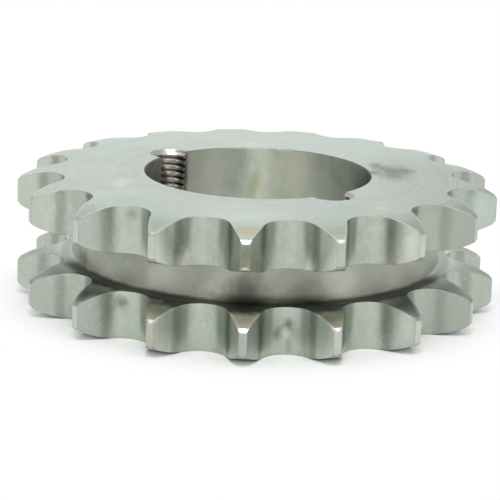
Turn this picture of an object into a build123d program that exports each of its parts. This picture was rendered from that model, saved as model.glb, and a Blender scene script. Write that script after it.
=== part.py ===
from build123d import *
from math import atan2, cos, hypot, pi, radians, sin, sqrt, tan
import os

# Double-strand roller chain sprocket for a split taper bush, cut from one steel blank.
# Millimetres, +Z up. The origin is on the bore axis, in the face at the large end of the
# taper, which is the face that the sprocket rests on. One tooth of each row points to -Y.

# Chain that runs on the sprocket
CHAIN_PITCH = 19.05
ROLLER_DIAMETER = 12.07
STRAND_PITCH = 19.46

# Toothed rows
TOOTH_COUNT = 17
TIP_DIAMETER = 111.8
ROW_WIDTH = 10.8
ROLLER_SEAT_CLEARANCE = 0.12
SEATING_ANGLE = 125.0
FLANK_RADIUS = 40.0

# Rounding that narrows both sides of each row towards the tooth tips, and the chamfer
# that takes off the corner it leaves there
TOOTH_SIDE_RADIUS = 19.05
TOOTH_SIDE_RELIEF = 2.48
TIP_CHAMFER_REACH = 0.65
TIP_CHAMFER_WIDTH = 0.8

# Groove between the rows, where the chain's middle plates run
GROOVE_DIAMETER = 86.0
GROOVE_CORNER_RADIUS = 1.0

# Seat for the split taper bush, with its large end in the bottom face
SEAT_LARGE_DIAMETER = 57.15
SEAT_INCLUDED_ANGLE = 8.0
BORE_EDGE_BREAK = 0.2

# Half holes in the bore wall for the bush's screws, all on one circle. The two tapped ones
# are not quite opposite each other, and the plain one lies midway between them.
SCREW_CIRCLE_DIAMETER = 54.0
RIGHT_SCREW_ANGLE = -49.0
LEFT_SCREW_ANGLE = 143.5
SCREW_DIAMETER = 9.525
TAPPING_DIAMETER = 8.0
COUNTERSINK_MARGIN = 0.3
COUNTERSINK_ANGLE = 90.0
PLAIN_HOLE_CLEARANCE = 0.3
PLAIN_HOLE_DEPTH = 15.0
DRILL_POINT_ANGLE = 118.0

# How far a cutter runs past the blank, and the difference below which two radii are the same
OVERRUN = 2.0
SAME = 1e-6

# Sizes that follow from the ones above
PITCH_RADIUS = CHAIN_PITCH / sin(pi / TOOTH_COUNT) / 2
SEAT_ARC_RADIUS = ROLLER_DIAMETER / 2 + ROLLER_SEAT_CLEARANCE
ROOT_RADIUS = PITCH_RADIUS - SEAT_ARC_RADIUS
TIP_RADIUS = TIP_DIAMETER / 2
RELIEF_REACH = sqrt(TOOTH_SIDE_RADIUS**2 - (TOOTH_SIDE_RADIUS - TOOTH_SIDE_RELIEF) ** 2)
FACE_RADIUS = TIP_RADIUS - RELIEF_REACH
ARC_REACH = RELIEF_REACH - TIP_CHAMFER_REACH
ARC_DEPTH = TOOTH_SIDE_RADIUS - sqrt(TOOTH_SIDE_RADIUS**2 - ARC_REACH**2)
TIP_DEPTH = ARC_DEPTH + TIP_CHAMFER_WIDTH
GROOVE_RADIUS = GROOVE_DIAMETER / 2
OVERALL_WIDTH = STRAND_PITCH + ROW_WIDTH
SEAT_SLOPE = tan(radians(SEAT_INCLUDED_ANGLE / 2))
SEAT_LARGE_RADIUS = SEAT_LARGE_DIAMETER / 2
SEAT_SMALL_RADIUS = SEAT_LARGE_RADIUS - OVERALL_WIDTH * SEAT_SLOPE
TOOTH_ANGLE = 360 / TOOTH_COUNT
FRONT_ANGLE = -90
PLAIN_HOLE_ANGLE = (RIGHT_SCREW_ANGLE + LEFT_SCREW_ANGLE) / 2


def row_side(face_z, inward):
    """Edges of one side of a toothed row, from its flat face out to the tooth tip.

    inward is +1 where the row lies above the face and -1 where it lies below.
    """
    arc_end = (FACE_RADIUS + ARC_REACH, face_z + inward * ARC_DEPTH)
    tip = (TIP_RADIUS, face_z + inward * TIP_DEPTH)
    return [TangentArc((FACE_RADIUS, face_z), arc_end, tangent=(1, 0)), Line(arc_end, tip)]


def turned_blank():
    """The blank as it leaves the lathe: half section, turned about Z, bore included."""
    upper_face = STRAND_PITCH
    top = OVERALL_WIDTH
    sides = [
        row_side(0, +1),
        row_side(ROW_WIDTH, -1),
        row_side(upper_face, +1),
        row_side(top, -1),
    ]
    tip_lands = [
        Line(sides[0][-1] @ 1, sides[1][-1] @ 1),
        Line(sides[2][-1] @ 1, sides[3][-1] @ 1),
    ]
    groove = Polyline(
        (FACE_RADIUS, ROW_WIDTH),
        (GROOVE_RADIUS, ROW_WIDTH),
        (GROOVE_RADIUS, upper_face),
        (FACE_RADIUS, upper_face),
    )
    bore = Polyline(
        (FACE_RADIUS, top),
        (SEAT_SMALL_RADIUS + BORE_EDGE_BREAK, top),
        (SEAT_SMALL_RADIUS + BORE_EDGE_BREAK * SEAT_SLOPE, top - BORE_EDGE_BREAK),
        (SEAT_LARGE_RADIUS - BORE_EDGE_BREAK * SEAT_SLOPE, BORE_EDGE_BREAK),
        (SEAT_LARGE_RADIUS + BORE_EDGE_BREAK, 0),
        (FACE_RADIUS, 0),
    )
    side_edges = [edge for side in sides for edge in side]
    section = make_face([*side_edges, *tip_lands, *groove.edges(), *bore.edges()])
    blank = revolve(Plane.XZ * section, Axis.Z)
    turned_edges = blank.edges().filter_by(GeomType.CIRCLE)
    corners = [edge for edge in turned_edges if abs(edge.radius - GROOVE_RADIUS) < SAME]
    return fillet(corners, GROOVE_CORNER_RADIUS)


def tooth_gap():
    """Outline of one gap between two teeth, centred on +X.

    The roller seats in an arc at the root. Each flank arc is tangent to the seat and bulges
    into the gap, up to a circle that lies outside the tips.
    """
    half_angle = radians(SEATING_ANGLE / 2)
    outer_radius = TIP_RADIUS + OVERRUN
    flank_x = PITCH_RADIUS - (SEAT_ARC_RADIUS + FLANK_RADIUS) * cos(half_angle)
    flank_y = (SEAT_ARC_RADIUS + FLANK_RADIUS) * sin(half_angle)

    # The flank circle meets the outer circle here
    reach = hypot(flank_x, flank_y)
    along = (reach**2 + outer_radius**2 - FLANK_RADIUS**2) / (2 * reach)
    across = sqrt(outer_radius**2 - along**2)
    end_x = (along * flank_x + across * flank_y) / reach
    end_y = (along * flank_y - across * flank_x) / reach
    end_angle = atan2(end_y - flank_y, end_x - flank_x)

    def flank_point(angle, side):
        x = flank_x + FLANK_RADIUS * cos(angle)
        y = flank_y + FLANK_RADIUS * sin(angle)
        return (x, side * y)

    middle_angle = (end_angle - half_angle) / 2
    left = [flank_point(angle, +1) for angle in (-half_angle, middle_angle, end_angle)]
    right = [flank_point(angle, -1) for angle in (-half_angle, middle_angle, end_angle)]
    seat = ThreePointArc(right[0], (ROOT_RADIUS, 0), left[0])
    closing = ThreePointArc(left[2], (outer_radius, 0), right[2])
    return make_face([seat, ThreePointArc(*left), closing, ThreePointArc(*right)])


def tooth_gaps():
    """All the gaps, each cut through both rows in one pass."""
    gap = extrude(tooth_gap(), OVERALL_WIDTH + 2 * OVERRUN)
    first_gap = FRONT_ANGLE + TOOTH_ANGLE / 2
    return [
        Pos(0, 0, -OVERRUN) * Rot(0, 0, first_gap + tooth * TOOTH_ANGLE) * gap
        for tooth in range(TOOTH_COUNT)
    ]


def at_screw_circle(angle):
    """Place on the screw circle, at an angle in degrees from +X."""
    return Rot(0, 0, angle) * Pos(SCREW_CIRCLE_DIAMETER / 2, 0, 0)


def tapped_half_hole():
    """Cutter for a tapped half hole: drilled right through and countersunk at both faces."""
    drill_radius = TAPPING_DIAMETER / 2
    sink_radius = SCREW_DIAMETER / 2 + COUNTERSINK_MARGIN
    sink_depth = (sink_radius - drill_radius) / tan(radians(COUNTERSINK_ANGLE / 2))
    section = make_face(
        Polyline(
            (0, -OVERRUN),
            (sink_radius, -OVERRUN),
            (sink_radius, 0),
            (drill_radius, sink_depth),
            (drill_radius, OVERALL_WIDTH - sink_depth),
            (sink_radius, OVERALL_WIDTH),
            (sink_radius, OVERALL_WIDTH + OVERRUN),
            (0, OVERALL_WIDTH + OVERRUN),
            close=True,
        )
    )
    return revolve(Plane.XZ * section, Axis.Z)


def plain_half_hole():
    """Cutter for the plain half hole: blind, drilled from the large end of the seat."""
    radius = SCREW_DIAMETER / 2 + PLAIN_HOLE_CLEARANCE
    point_depth = radius / tan(radians(DRILL_POINT_ANGLE / 2))
    section = make_face(
        Polyline(
            (0, -OVERRUN),
            (radius, -OVERRUN),
            (radius, PLAIN_HOLE_DEPTH),
            (0, PLAIN_HOLE_DEPTH + point_depth),
            close=True,
        )
    )
    return revolve(Plane.XZ * section, Axis.Z)


def sprocket():
    """The whole sprocket, one solid."""
    tapped = tapped_half_hole()
    screw_holes = [
        at_screw_circle(RIGHT_SCREW_ANGLE) * tapped,
        at_screw_circle(LEFT_SCREW_ANGLE) * tapped,
        at_screw_circle(PLAIN_HOLE_ANGLE) * plain_half_hole(),
    ]
    body = turned_blank() - tooth_gaps() - screw_holes
    body.label = "sprocket"
    return body


os.makedirs("parts", exist_ok=True)
model = sprocket()
export_step(model, "parts/sprocket.step")
print("radii: tip", TIP_RADIUS, "root", round(ROOT_RADIUS, 3), "pitch", round(PITCH_RADIUS, 3))
print("overall width", OVERALL_WIDTH, "solids", len(model.solids()), "volume", round(model.volume, 1))
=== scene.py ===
# %% [markdown]
# # A double-strand chain sprocket in machined steel
#
# The real object is one steel blank. A lathe turned its faces, the groove between its two
# rows of teeth and the tapered bore, a hob cut the gaps, and a drill and a tap made the
# half holes in the bore wall. This lesson builds the same thing as one closed mesh, laid
# out so that every edge of the real part runs along a line of the mesh, and then gives
# each cut surface the marks of the tool that cut it.
#
# The imported CAD model is the fixed frame. It is loaded first, and its box is kept.

from math import acos, atan2, cos, hypot, pi, radians, sin, sqrt, tan

import bmesh
import bpy
from mathutils import Matrix, Vector


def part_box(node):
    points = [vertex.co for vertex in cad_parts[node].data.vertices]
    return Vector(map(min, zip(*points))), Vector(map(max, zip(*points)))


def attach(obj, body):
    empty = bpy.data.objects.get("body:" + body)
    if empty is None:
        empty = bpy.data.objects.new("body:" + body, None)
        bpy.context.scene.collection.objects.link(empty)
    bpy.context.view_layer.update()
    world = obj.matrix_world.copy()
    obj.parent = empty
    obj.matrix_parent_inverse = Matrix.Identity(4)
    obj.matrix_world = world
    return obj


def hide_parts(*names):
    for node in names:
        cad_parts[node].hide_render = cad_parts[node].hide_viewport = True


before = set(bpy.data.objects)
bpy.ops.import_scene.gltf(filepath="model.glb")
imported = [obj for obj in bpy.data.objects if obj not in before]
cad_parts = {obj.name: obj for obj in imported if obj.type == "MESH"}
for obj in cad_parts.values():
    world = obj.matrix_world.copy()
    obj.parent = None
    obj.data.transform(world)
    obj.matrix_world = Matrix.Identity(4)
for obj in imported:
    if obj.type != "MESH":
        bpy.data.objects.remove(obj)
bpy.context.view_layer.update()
low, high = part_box("sprocket")
print("the CAD box runs from", tuple(low), "to", tuple(high))

# %% [markdown]
# ## The camera
#
# The camera is set up before the object, because all that is seen depends on it.
# It stands half a metre away with a long lens, so the near and the far teeth come out at
# almost the same scale. Its place is worked out from plain angles: how high it stands, how
# far round, and how much it leans. Dragging it about by hand would do too, but numbers can
# be set again and set exactly.

# %% Camera
MM = 0.001
CAMERA_ELEVATION = radians(14.936)
CAMERA_ROUND = radians(2.257)
CAMERA_LEAN = radians(1.824)
CAMERA_DISTANCE = 519.67 * MM
AIM_LEFT = 1.856 * MM
AIM_BELOW = 18.259 * MM
SENSOR_WIDTH = 36.0
LENS = 159.91
DECIMALS = 4

overall_width = high.z
forward = Vector((0, cos(CAMERA_ELEVATION), -sin(CAMERA_ELEVATION)))
upright = Vector((0, sin(CAMERA_ELEVATION), cos(CAMERA_ELEVATION)))
sideways = Vector((1, 0, 0))
right = sideways * cos(CAMERA_LEAN) + upright * sin(CAMERA_LEAN)
up = upright * cos(CAMERA_LEAN) - sideways * sin(CAMERA_LEAN)
aim = Vector((0, 0, overall_width))
place = aim - right * AIM_LEFT - up * AIM_BELOW - forward * CAMERA_DISTANCE
stance = Matrix((right, up, -forward)).transposed().to_4x4()
stance.translation = place

camera_data = bpy.data.cameras.new("camera")
camera_data.sensor_width = SENSOR_WIDTH
camera_data.lens = LENS
camera = bpy.data.objects.new("camera", camera_data)
bpy.context.scene.collection.objects.link(camera)
camera.matrix_world = Matrix.Rotation(CAMERA_ROUND, 4, "Z") @ stance
bpy.context.scene.camera = camera
bpy.context.scene.view_settings.view_transform = "Standard"
print("camera at", tuple(round(x, DECIMALS) for x in camera.matrix_world.translation))

# %% [markdown]
# ## The studio
#
# Bare steel shows little colour of its own: it shows the room. So the sprocket lies on a
# white table in a white room, which gives it its pale faces. The table is one big square. It
# is stage, not part of the object, and a few small helpers for it come first, because the
# finishes need them again.

# %% Helpers and the table's square
def link(name, data):
    """Put an object with this data into the scene."""
    made = bpy.data.objects.new(name, data)
    bpy.context.scene.collection.objects.link(made)
    return made


def new_material(name):
    """An empty node material with its output."""
    material = bpy.data.materials.new(name)
    material.use_nodes = True
    tree = material.node_tree
    tree.nodes.clear()
    return material, tree, tree.nodes.new("ShaderNodeOutputMaterial")


def seen_or_mirrored(tree):
    """1 for a ray from the camera or off a glossy surface, 0 for any other."""
    path = tree.nodes.new("ShaderNodeLightPath")
    either = tree.nodes.new("ShaderNodeMath")
    either.operation = "MAXIMUM"
    tree.links.new(path.outputs["Is Camera Ray"], either.inputs[0])
    tree.links.new(path.outputs["Is Glossy Ray"], either.inputs[1])
    return either.outputs[0]


FLOOR_REACH = 3.0

floor_mesh = bpy.data.meshes.new("table")
corners = [(-1, -1), (1, -1), (1, 1), (-1, 1)]
floor_points = [(x * FLOOR_REACH, y * FLOOR_REACH, 0) for x, y in corners]
floor_mesh.from_pydata(floor_points, [], [(0, 1, 2, 3)])
floor = link("table", floor_mesh)
print("the table reaches", FLOOR_REACH, "m each way")

# %% [markdown]
# ## A table that fades into the room
#
# Near the part the table is plain white paint, so it takes the part's shadow. A little way
# out it turns into an even white glow, and the background stays clean. The glow is for the
# camera and for rays off glossy surfaces. Rays off matt ones still meet plain paint there.

# %% White table that fades into the white room
FLOOR_WHITE = 0.95
FADE_START = 0.050
FADE_END = 0.064

material, tree, output = new_material("white table")
floor_mesh.materials.append(material)
paint = tree.nodes.new("ShaderNodeBsdfDiffuse")
paint.inputs["Color"].default_value = (FLOOR_WHITE, FLOOR_WHITE, FLOOR_WHITE, 1)
glow = tree.nodes.new("ShaderNodeEmission")
spot = tree.nodes.new("ShaderNodeTexCoord")
away = tree.nodes.new("ShaderNodeVectorMath")
away.operation = "LENGTH"
tree.links.new(spot.outputs["Object"], away.inputs[0])
fade = tree.nodes.new("ShaderNodeMapRange")
fade.inputs["From Min"].default_value = FADE_START
fade.inputs["From Max"].default_value = FADE_END
tree.links.new(away.outputs["Value"], fade.inputs["Value"])
share = tree.nodes.new("ShaderNodeMath")
share.operation = "MULTIPLY"
tree.links.new(fade.outputs[0], share.inputs[0])
tree.links.new(seen_or_mirrored(tree), share.inputs[1])
mix = tree.nodes.new("ShaderNodeMixShader")
tree.links.new(share.outputs[0], mix.inputs[0])
tree.links.new(paint.outputs[0], mix.inputs[1])
tree.links.new(glow.outputs[0], mix.inputs[2])
tree.links.new(mix.outputs[0], output.inputs["Surface"])
print("the table fades out from", FADE_START, "to", FADE_END, "m from the bore's axis")

# %% [markdown]
# ## The white room
#
# The world lights the scene from all round. It is dim low down and bright overhead, as a
# room with a white ceiling is. The camera and rays off glossy surfaces meet one even pale
# grey in its place, so the steel does not mirror the dim part. A picture of a real room
# would give livelier reflections, but these stay clean and need no file.

# %% White room, dimmer near its floor than at its ceiling
WALL_LIGHT = 0.05
CEILING_LIGHT = 1.0

world = bpy.data.worlds.new("white room")
bpy.context.scene.world = world
world.use_nodes = True
tree = world.node_tree
tree.nodes.clear()
output = tree.nodes.new("ShaderNodeOutputWorld")
looking = tree.nodes.new("ShaderNodeTexCoord")
heights = tree.nodes.new("ShaderNodeSeparateXYZ")
tree.links.new(looking.outputs["Generated"], heights.inputs[0])
strength = tree.nodes.new("ShaderNodeMapRange")
strength.inputs["To Min"].default_value = WALL_LIGHT
strength.inputs["To Max"].default_value = CEILING_LIGHT
tree.links.new(heights.outputs["Z"], strength.inputs["Value"])
room = tree.nodes.new("ShaderNodeBackground")
tree.links.new(strength.outputs[0], room.inputs["Strength"])
seen = tree.nodes.new("ShaderNodeBackground")
mix = tree.nodes.new("ShaderNodeMixShader")
tree.links.new(seen_or_mirrored(tree), mix.inputs[0])
tree.links.new(room.outputs[0], mix.inputs[1])
tree.links.new(seen.outputs[0], mix.inputs[2])
tree.links.new(mix.outputs[0], output.inputs["Surface"])
print("the room's light rises from", WALL_LIGHT, "at the walls to", CEILING_LIGHT, "overhead")

# %% [markdown]
# ## Soft lamps
#
# A strong lamp in front and above puts the bright lines on the small chamfers of the front
# teeth. Two weaker ones at the sides keep the far teeth from going flat. A wide one overhead
# lights the top face, and a wide low one gives the back its shape. Square lamps are used
# because a softbox is square, and a large one gives steel a broad, gentle highlight.

# %% Soft lamps
def soft_lamp(name, bearing, elevation, distance, size, power):
    """A square lamp that looks at the sprocket from a bearing (0 is the front) and a height."""
    data = bpy.data.lights.new(name, "AREA")
    data.size = size
    data.energy = power
    made = link(name, data)
    flat = cos(radians(elevation)) * distance
    place = Vector((sin(radians(bearing)), -cos(radians(bearing)), 0)) * flat
    place.z = sin(radians(elevation)) * distance
    turned = place.to_track_quat("Z", "Y").to_matrix().to_4x4()
    made.matrix_world = Matrix.Translation(place) @ turned
    return made


soft_lamp("front softbox", bearing=0, elevation=60, distance=1.2, size=0.3, power=5.0)
soft_lamp("right softbox", bearing=60, elevation=55, distance=1.2, size=0.35, power=0.95)
soft_lamp("left softbox", bearing=-60, elevation=55, distance=1.2, size=0.35, power=0.4)
soft_lamp("overhead softbox", bearing=0, elevation=90, distance=1.2, size=1.1, power=1.6)
soft_lamp("back softbox", bearing=190, elevation=20, distance=1.5, size=1.2, power=1.0)
print(len(bpy.data.lights), "lamps")

# %% [markdown]
# ## The sizes that shape a tooth
#
# A roller chain fixes almost everything: the pitch and the roller give the circle on which
# the rollers sit and the arc that each one seats in. The numbers are the same driving
# sizes that the solid is made from, in millimetres, turned into Blender's metres.

# %% Sizes
CHAIN_PITCH = 19.05 * MM
ROLLER_DIAMETER = 12.07 * MM
STRAND_PITCH = 19.46 * MM
TOOTH_COUNT = 17
ROW_WIDTH = 10.8 * MM
SEAT_CLEARANCE = 0.12 * MM
SEATING_ANGLE = radians(125)
FLANK_RADIUS = 40 * MM
SIDE_RADIUS = 19.05 * MM
SIDE_RELIEF = 2.48 * MM
CHAMFER_REACH = 0.65 * MM
CHAMFER_WIDTH = 0.8 * MM
EDGE_BREAK = 0.06 * MM

tip_radius = -low.y
pitch_radius = CHAIN_PITCH / sin(pi / TOOTH_COUNT) / 2
seat_arc = ROLLER_DIAMETER / 2 + SEAT_CLEARANCE
root_radius = pitch_radius - seat_arc
face_radius = tip_radius - sqrt(SIDE_RADIUS**2 - (SIDE_RADIUS - SIDE_RELIEF) ** 2)
chamfer_radius = tip_radius - CHAMFER_REACH
tooth_pitch = 2 * pi / TOOTH_COUNT
front = -pi / 2
print("pitch radius", round(pitch_radius / MM, 3), "root radius", round(root_radius / MM, 3), "mm")

# %% [markdown]
# ## The outline of a gap, seen from above
#
# Each gap is a round seat for the roller with a flank on each side that leans away towards
# the tip. Half of one gap is enough, as a list of polar points from its middle to the tooth
# tip, because everything else is that half mirrored and turned. The outline can also be
# drawn a little way inside the metal. The strip between the two outlines is then the broken
# edge that every machined part has, and it catches the light as a fine line. Cutting gaps out
# of a disc with a boolean would be quicker to write, but it leaves ragged faces that spoil
# the highlights.

# %% Half of a gap
SEAT_STEPS = 9
FLANK_STEPS = 6
CHAMFER_STEPS = 2


def spread(a, b, steps):
    """steps + 1 evenly spaced values from a to b."""
    return [a + (b - a) * step / steps for step in range(steps + 1)]


def gap_half(inset):
    """The seat and the flank as (angle from the gap's middle, radius), `inset` in the metal."""
    arc = seat_arc + inset
    bulge = FLANK_RADIUS - inset
    half_angle = SEATING_ANGLE / 2
    outline = []
    for turn in spread(0, half_angle, SEAT_STEPS):
        x = pitch_radius - arc * cos(turn)
        y = arc * sin(turn)
        outline.append((atan2(y, x), hypot(x, y)))
    centre_x = pitch_radius - (seat_arc + FLANK_RADIUS) * cos(half_angle)
    centre_y = (seat_arc + FLANK_RADIUS) * sin(half_angle)
    reach = hypot(centre_x, centre_y)
    bearing = atan2(centre_y, centre_x)
    start = outline[-1][1]
    flank_radii = spread(start, chamfer_radius, FLANK_STEPS)[1:]
    chamfer_radii = spread(chamfer_radius, tip_radius - EDGE_BREAK, CHAMFER_STEPS)[1:]
    for radius in flank_radii + chamfer_radii:
        between = acos((reach**2 + radius**2 - bulge**2) / (2 * reach * radius))
        outline.append((bearing - between, radius))
    return outline


def relief(radius):
    """How far a row's side has fallen away from its flat face at this radius."""
    if radius <= face_radius:
        return 0.0
    along = min(radius, chamfer_radius) - face_radius
    drop = SIDE_RADIUS - sqrt(SIDE_RADIUS**2 - along**2)
    return drop + max(radius - chamfer_radius, 0) * CHAMFER_WIDTH / CHAMFER_REACH


edge_line = gap_half(0)
inner_line = gap_half(EDGE_BREAK)

# The outline ends one edge break short of the tip, and its last step is carried on to there
(last_angle, last_radius), (end_angle, end_radius) = edge_line[-2:]
corner_angle = end_angle + (end_angle - last_angle) * EDGE_BREAK / (end_radius - last_radius)
tip_width = 2 * (tooth_pitch / 2 - corner_angle) * tip_radius
print("a tooth tip is", round(tip_width / MM, 2), "mm wide")

# %% [markdown]
# ## One heap of points and faces
#
# Every surface of the part is a grid: rows of points with a face between each four. A small
# collector takes grids and remembers which finish each face gets. The grids share their
# border points by place, so welding them at the end gives one closed skin. One mesh is right
# here because the real part is one piece of metal.

# %% The collector
points = []
faces = []
face_finish = []
FINISHES = [
    "turned face", "groove side", "broken edge", "hobbed gap",
    "tooth tip", "turned groove", "bored taper", "tapped thread",
]


def polar(angle, radius, height):
    """The point at this angle round the bore's axis, this far from it and this high."""
    return (radius * cos(angle), radius * sin(angle), height)


def add_grid(rows, finish):
    """Join rows of points, all of the same length, into a skin of four-sided faces."""
    start = len(points)
    width = len(rows[0])
    for row in rows:
        points.extend(row)
    for r in range(len(rows) - 1):
        for c in range(width - 1):
            corner = start + r * width + c
            faces.append((corner, corner + 1, corner + width + 1, corner + width))
            face_finish.append(FINISHES.index(finish))


print("finishes:", ", ".join(FINISHES))

# %% [markdown]
# ## The teeth
#
# The cap of a tooth is a sheet bent over it: up the side that falls away to the tip, over
# the tip and down the other side. Its rows run across the tooth, each at its own radius,
# so the fall, which depends on the radius alone, comes out exact. The gap between two caps
# is a wall, and a strip one edge break wide joins each wall to its caps.

# %% Tooth caps
ACROSS = 10
WALL_STEPS = 8


def tooth_cap(middle, bottom, top):
    """The sheet over one tooth. Returns its two borders, for the strips."""
    upper_finish = "turned face" if top == overall_width else "groove side"
    lower_finish = "turned face" if bottom == 0 else "groove side"
    rows = []
    tip_half = tooth_pitch / 2 - corner_angle - EDGE_BREAK / tip_radius

    def across(half, radius, height):
        return [polar(middle + turn, radius, height) for turn in spread(-half, half, ACROSS)]

    for angle, radius in inner_line:
        rows.append(across(tooth_pitch / 2 - angle, radius, top - relief(radius)))
    tip_drop = relief(tip_radius) + EDGE_BREAK
    for height in spread(top - tip_drop, bottom + tip_drop, WALL_STEPS):
        rows.append(across(tip_half, tip_radius, height))
    for angle, radius in reversed(inner_line):
        rows.append(across(tooth_pitch / 2 - angle, radius, bottom + relief(radius)))
    count = len(inner_line)
    land_rows = rows[count - 1 : count + WALL_STEPS + 2]
    add_grid(rows[:count], upper_finish)
    add_grid(land_rows, "tooth tip")
    add_grid(rows[count + WALL_STEPS + 1 :], lower_finish)
    return [row[0] for row in rows], [row[-1] for row in rows]


# %% Gap walls
def wall_column(angle, radius, bottom, top):
    """Points down the wall of a gap, at one place of its outline."""
    fall = relief(radius)
    heights = spread(top - fall - EDGE_BREAK, bottom + fall + EDGE_BREAK, WALL_STEPS)
    return [polar(angle, radius, height) for height in heights]


def gap_wall(middle, bottom, top):
    """The wall of one gap. Returns the borders that face the tooth on each side."""
    first, second = (
        [wall_column(middle + side * angle, radius, bottom, top) for angle, radius in edge_line]
        for side in (-1, 1)
    )
    add_grid(first[::-1] + second[1:], "hobbed gap")
    borders = []
    for columns in (first, second):
        upper = [column[0] for column in columns]
        lower = [column[-1] for column in columns]
        borders.append(upper + columns[-1] + lower[::-1])
    return borders


# %% Rows of teeth
def toothed_row(bottom, top):
    """All the caps, walls and edge strips of one row of teeth."""
    caps = [tooth_cap(front + tooth * tooth_pitch, bottom, top) for tooth in range(TOOTH_COUNT)]
    for gap in range(TOOTH_COUNT):
        before, after = gap_wall(front + (gap + 0.5) * tooth_pitch, bottom, top)
        add_grid([caps[gap][1], before], "broken edge")
        add_grid([after, caps[(gap + 1) % TOOTH_COUNT][0]], "broken edge")


toothed_row(0, ROW_WIDTH)
toothed_row(STRAND_PITCH, overall_width)
print(len(points), "points in the two rows of teeth")

# %% [markdown]
# ## The groove between the rows
#
# The chain's middle plates run in this groove. It is a turned channel with straight walls
# and a small radius in each corner, so it is a half section carried round the axis. The
# rows of teeth end on a ring of evenly spaced points, and the groove starts on that ring.

# %% Groove
GROOVE_RADIUS = 43 * MM
GROOVE_CORNER = 1.0 * MM
CORNER_STEPS = 6
RING = TOOTH_COUNT * ACROSS
ring_angles = [front - tooth_pitch / 2 + 2 * pi * step / RING for step in range(RING + 1)]
ring_radius = inner_line[0][1]


def ring(radius, height):
    """A closed ring of points round the bore's axis."""
    return [polar(angle, radius, height) for angle in ring_angles]


def groove():
    """The channel between the rows: a wall, a corner, the floor, a corner and a wall."""
    upper_corner = []
    lower_corner = []
    for turn in spread(0, pi / 2, CORNER_STEPS):
        radius = GROOVE_RADIUS + GROOVE_CORNER * (1 - sin(turn))
        drop = GROOVE_CORNER * (1 - cos(turn))
        upper_corner.append((radius, STRAND_PITCH - drop))
        lower_corner.append((radius, ROW_WIDTH + drop))
    upper_wall = [(ring_radius, STRAND_PITCH)]
    lower_wall = [(ring_radius, ROW_WIDTH)]
    section = upper_wall + upper_corner + lower_corner[::-1] + lower_wall
    add_grid([ring(radius, height) for radius, height in section], "turned groove")


groove()
print("the groove's floor is", round(2 * GROOVE_RADIUS / MM, 2), "mm across")

# %% [markdown]
# ## The bore and its half holes
#
# The bore is a taper, wide at the bottom. Two tapped half holes run its whole length with
# a countersink at each end, and a plain half hole comes in from the wide end and stops.
# The wall is a stack of closed sections, one for each height. A section goes round the
# taper and out along each hole's own circle, and in a tapped hole that circle's radius
# swings with height and turn, which makes a true screw thread. A thread that is only painted
# on would look flat where the light grazes it.

# %% Screw thread
SEAT_LARGE_RADIUS = 57.15 * MM / 2
SEAT_ANGLE = radians(8)
SEAT_SLOPE = tan(SEAT_ANGLE / 2)
BORE_EDGE_BREAK = 0.2 * MM
SCREW_CIRCLE = 54 * MM / 2
RIGHT_HOLE = radians(-49)
LEFT_HOLE = radians(143.5)
PLAIN_HOLE = (RIGHT_HOLE + LEFT_HOLE) / 2
SCREW_RADIUS = 9.525 * MM / 2
DRILL_RADIUS = 8 * MM / 2
COUNTERSINK_MARGIN = 0.3 * MM
COUNTERSINK_RADIUS = SCREW_RADIUS + COUNTERSINK_MARGIN
PLAIN_CLEARANCE = 0.3 * MM
PLAIN_RADIUS = SCREW_RADIUS + PLAIN_CLEARANCE
PLAIN_DEPTH = 15 * MM
DRILL_POINT = radians(118)
INCH = 25.4 * MM
THREADS_PER_INCH = 16
THREAD_PITCH = INCH / THREADS_PER_INCH
THREAD_ANGLE = radians(55)
THREAD_ROOT_WIDTH = 0.2 * MM


def tapped_radius(height, turn):
    """A tapped hole's radius at a height, `turn` round its own axis."""
    travel = height / THREAD_PITCH - turn / (2 * pi)
    from_root = abs(travel - round(travel)) * THREAD_PITCH
    flank = max(from_root - THREAD_ROOT_WIDTH / 2, 0) / tan(THREAD_ANGLE / 2)
    thread = max(SCREW_RADIUS - flank, DRILL_RADIUS)
    from_end = min(height, overall_width - height)
    return max(thread, COUNTERSINK_RADIUS - from_end)


def plain_radius(height, turn):
    """The plain hole's radius at a height: straight, then the cone that the drill leaves."""
    return PLAIN_RADIUS - max(height - PLAIN_DEPTH, 0) * tan(DRILL_POINT / 2)


def taper_radius(height):
    """The bore's own radius at a height."""
    return SEAT_LARGE_RADIUS - height * SEAT_SLOPE


def closing_height():
    """Where the cone of the plain hole just leaves the taper's wall."""
    slope = tan(DRILL_POINT / 2)
    reach = SCREW_CIRCLE + PLAIN_RADIUS - SEAT_LARGE_RADIUS + PLAIN_DEPTH * slope
    return reach / (slope - SEAT_SLOPE)


closed_at = closing_height()
print("the plain half hole ends", round(closed_at / MM, 2), "mm up the wall")

# %% [markdown]
# ## Sections of the bore
#
# Every section has the same number of points as the ring where the teeth begin, so the flat
# faces can be filled without odd faces. Where a hole meets the wall depends on the hole's
# radius there, which in a thread depends on the turn, so that place is found in a few
# rounds, each from the one before.

# %% Sections of the bore
TAPPED_COLUMNS = 24
PLAIN_COLUMNS = 18
SHORT_WALL_COLUMNS = 26
LONG_WALL_COLUMNS = RING - 2 * TAPPED_COLUMNS - PLAIN_COLUMNS - 2 * SHORT_WALL_COLUMNS
ROUNDS = 4


def hole_arc(bearing, radius_at, height, wall_radius, columns):
    """Points (angle, radius from the bore's axis) along one half hole, from wall to wall."""
    turn = pi / 2
    for _ in range(ROUNDS):
        size = radius_at(height, turn)
        meet = (wall_radius**2 - SCREW_CIRCLE**2 - size**2) / (2 * SCREW_CIRCLE * size)
        turn = acos(max(-1, min(meet, 1)))
    found = []
    for side in spread(-turn, turn, columns):
        size = radius_at(height, side)
        x = SCREW_CIRCLE + size * cos(side)
        y = size * sin(side)
        found.append((bearing + atan2(y, x), hypot(x, y)))
    return found


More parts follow.
